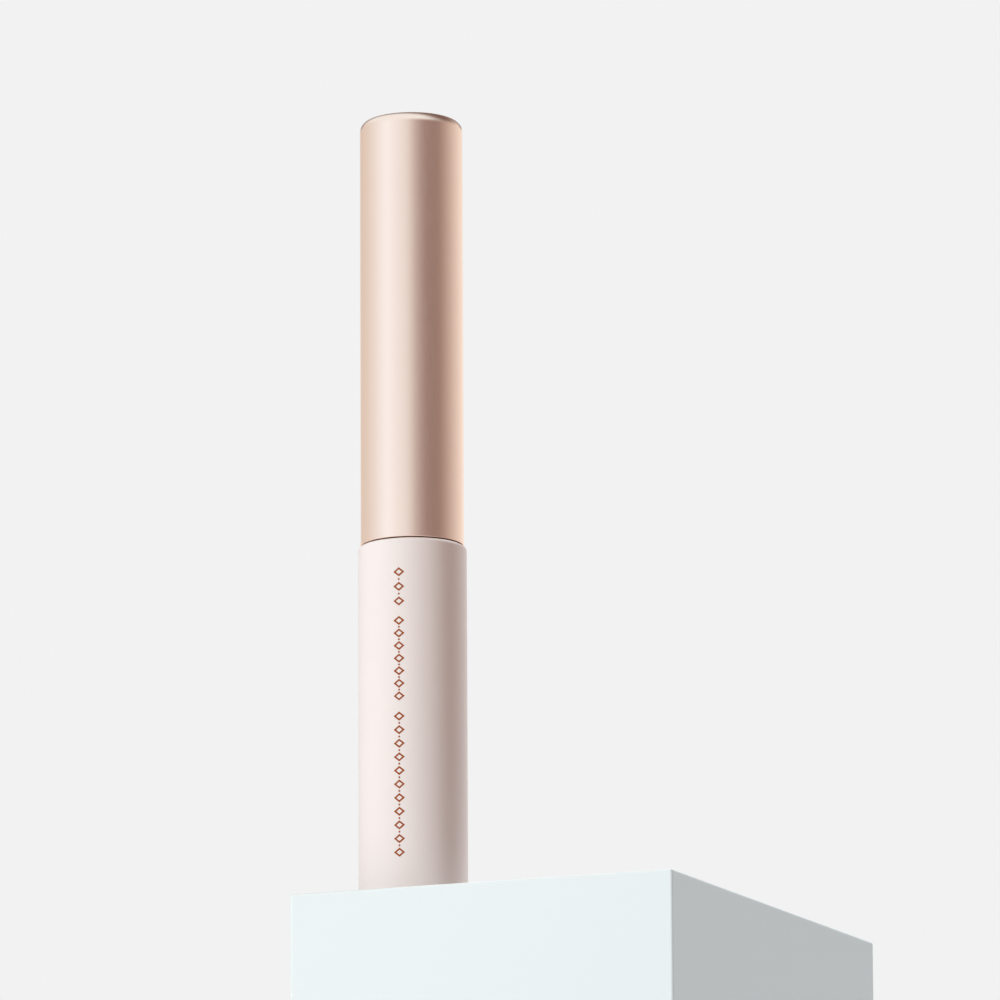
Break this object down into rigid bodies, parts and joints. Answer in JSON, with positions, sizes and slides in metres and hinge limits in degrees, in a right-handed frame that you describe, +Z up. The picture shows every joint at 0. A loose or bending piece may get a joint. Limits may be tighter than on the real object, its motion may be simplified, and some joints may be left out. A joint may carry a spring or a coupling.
{
  "type": "mascara tube",
  "caption": "Slim mascara tube: a soft-touch bottle with a threaded neck and wiper, closed by a tall metal screw cap that carries a stem and a curved brush.",
  "frame": {"origin": "centre of the bottle's foot, on the plane the tube stands on", "axes": "+Z up along the tube's axis, from the bottle to the cap; +X is the way the brush bends; -Y is the front, with the foil ornament"},
  "size_m": [0.0164, 0.0164, 0.1217],
  "materials": {
    "soft_touch_blush": "soft-touch lacquer, matte",
    "rose_gold_metal": "anodised rose gold, satin gloss",
    "milky_vial": "natural polypropylene, slightly clear",
    "wiper_ldpe": "soft polyethylene",
    "plug_plastic": "moulded satin",
    "label_paper": "coated label",
    "paste": "wet black paste",
    "washer_foam": "closed-cell foam",
    "weight_steel": "turned, zinc plated",
    "black_liner": "moulded satin black",
    "black_stem": "glossy black",
    "wire_steel": "twisted stainless wire, coated with paste",
    "bristle_nylon": "fine black nylon fibres"
  },
  "bodies": {
    "bottle": {"bottle_shell": "soft_touch_blush", "inner_bottle": "milky_vial", "wiper": "wiper_ldpe", "base_plug": "plug_plastic", "base_label": "label_paper", "mascara_paste": "paste"},
    "seal": {"seal_washer": "washer_foam"},
    "weight": {"cap_weight": "weight_steel"},
    "cap_and_wand": {"cap_shell": "rose_gold_metal", "inner_cap": "black_liner", "stem": "black_stem", "brush_wire": "wire_steel", "brush_bristles": "bristle_nylon"}
  },
  "joints": [
    {"name": "cap_pull", "type": "slide", "parent": "bottle", "child": "seal", "axis": [0, 0, 1], "range_m": [0, 0.066], "deforming": ["brush_wire", "brush_bristles"]},
    {"name": "cap_rise", "type": "slide", "parent": "seal", "child": "weight", "axis": [0, 0, 1], "range_m": [0, 0.00376]},
    {"name": "cap_unscrew", "type": "hinge", "parent": "weight", "child": "cap_and_wand", "pos_m": [0, 0, 0.05525], "axis": [0, 0, 1], "range_deg": [0, 540]}
  ],
  "couplings": [
    {"joint": "cap_rise", "follows": "cap_unscrew", "m_per_rad": 0.00039789}
  ]
}
